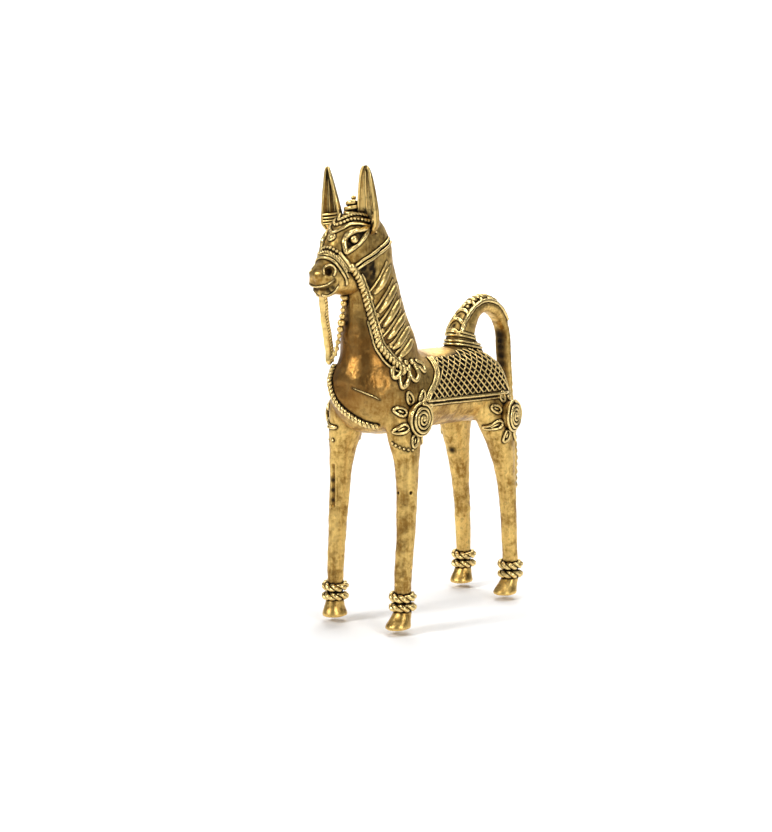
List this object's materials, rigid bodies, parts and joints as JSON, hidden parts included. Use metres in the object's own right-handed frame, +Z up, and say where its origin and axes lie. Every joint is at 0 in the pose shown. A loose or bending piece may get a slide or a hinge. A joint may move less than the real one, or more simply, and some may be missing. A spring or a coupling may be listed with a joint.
{
  "type": "horse figurine",
  "caption": "Free-standing hollow-cast brass horse ornament with an arched tail, rope reins, a netted saddle blanket, shoulder and hip rosettes and ringed ankles.",
  "frame": {"origin": "on the floor plane under the middle of the horse's length and width, between the front and hind hooves", "axes": "+Z up, the horse faces -Y, its left side is +X"},
  "size_m": [0.0402, 0.1205, 0.1666],
  "materials": {
    "cast_brass_body": "cast, hand-polished on the high places, brown patina in the hollows, fine pits",
    "cast_brass_ornament": "cast threads and ropes, worn bright on top, dark patina between them",
    "clay_core": "fired clay, rough"
  },
  "bodies": {
    "root": {"anklet_front_left": "cast_brass_ornament", "anklet_front_right": "cast_brass_ornament", "anklet_hind_left": "cast_brass_ornament", "anklet_hind_right": "cast_brass_ornament", "bead_strand": "cast_brass_ornament", "blanket_field_left": "cast_brass_ornament", "blanket_field_right": "cast_brass_ornament", "blanket_front_border_left": "cast_brass_ornament", "blanket_front_border_right": "cast_brass_ornament", "blanket_hem_left": "cast_brass_ornament", "blanket_hem_right": "cast_brass_ornament", "blanket_rear_border_left": "cast_brass_ornament", "blanket_rear_border_right": "cast_brass_ornament", "breast_rope": "cast_brass_ornament", "browband": "cast_brass_ornament", "cheek_straps": "cast_brass_ornament", "clay_core": "clay_core", "ear_left": "cast_brass_ornament", "ear_right": "cast_brass_ornament", "eye_rims": "cast_brass_ornament", "eyeballs": "cast_brass_ornament", "head": "cast_brass_body", "headstall": "cast_brass_ornament", "hoof_front_left": "cast_brass_body", "hoof_front_right": "cast_brass_body", "hoof_hind_left": "cast_brass_body", "hoof_hind_right": "cast_brass_body", "leg_front_left": "cast_brass_body", "leg_front_right": "cast_brass_body", "leg_hind_left": "cast_brass_body", "leg_hind_right": "cast_brass_body", "mane_crest": "cast_brass_ornament", "mane_locks": "cast_brass_ornament", "neck": "cast_brass_body", "nose_bead": "cast_brass_ornament", "noseband": "cast_brass_ornament", "rein_knot_left": "cast_brass_ornament", "rein_left": "cast_brass_ornament", "rein_right": "cast_brass_ornament", "rosette_coil_front_left": "cast_brass_ornament", "rosette_coil_front_right": "cast_brass_ornament", "rosette_coil_hind_left": "cast_brass_ornament", "rosette_coil_hind_right": "cast_brass_ornament", "rosette_disc_front_left": "cast_brass_ornament", "rosette_disc_front_right": "cast_brass_ornament", "rosette_disc_hind_left": "cast_brass_ornament", "rosette_disc_hind_right": "cast_brass_ornament", "rosette_petals_front_left": "cast_brass_ornament", "rosette_petals_front_right": "cast_brass_ornament", "rosette_petals_hind_left": "cast_brass_ornament", "rosette_petals_hind_right": "cast_brass_ornament", "tail": "cast_brass_body", "tail_foot_bands": "cast_brass_ornament", "tail_rope": "cast_brass_ornament", "tail_rungs": "cast_brass_ornament", "topknot": "cast_brass_ornament", "torso": "cast_brass_body"}
  },
  "joints": []
}
